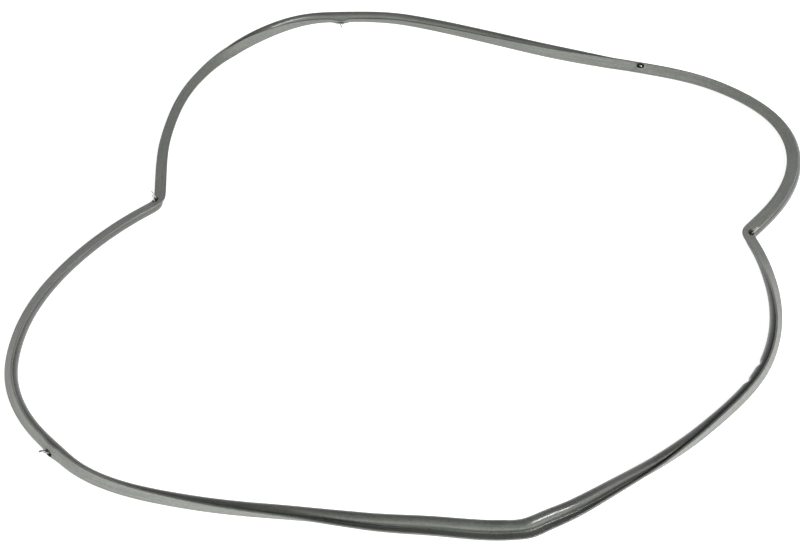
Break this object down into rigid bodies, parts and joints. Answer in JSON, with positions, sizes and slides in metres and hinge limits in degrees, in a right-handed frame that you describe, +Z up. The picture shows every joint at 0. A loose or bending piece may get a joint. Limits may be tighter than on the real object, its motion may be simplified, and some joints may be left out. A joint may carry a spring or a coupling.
{
  "type": "oven door gasket",
  "caption": "Endless hollow rubber seal with a flat base and wire hooks that clip it round an oven door, lying relaxed and twisted with folded corners.",
  "frame": {"origin": "on the table that the loop lies on, below the middle of its bounding box", "axes": "+Z up from the table, +Y along the longer way across the loop, +X across it from the torn hook's side"},
  "size_m": [0.5154, 0.5608, 0.0134],
  "materials": {
    "seal_rubber": "matte dark grey, extruded",
    "spring_steel": "bright drawn spring wire"
  },
  "bodies": {
    "root": {"seal_strip": "seal_rubber", "hook_near": "spring_steel", "hook_near_left": "spring_steel", "hook_left": "spring_steel", "hook_far_left": "spring_steel", "hook_far": "spring_steel", "hook_right": "spring_steel"}
  },
  "joints": []
}
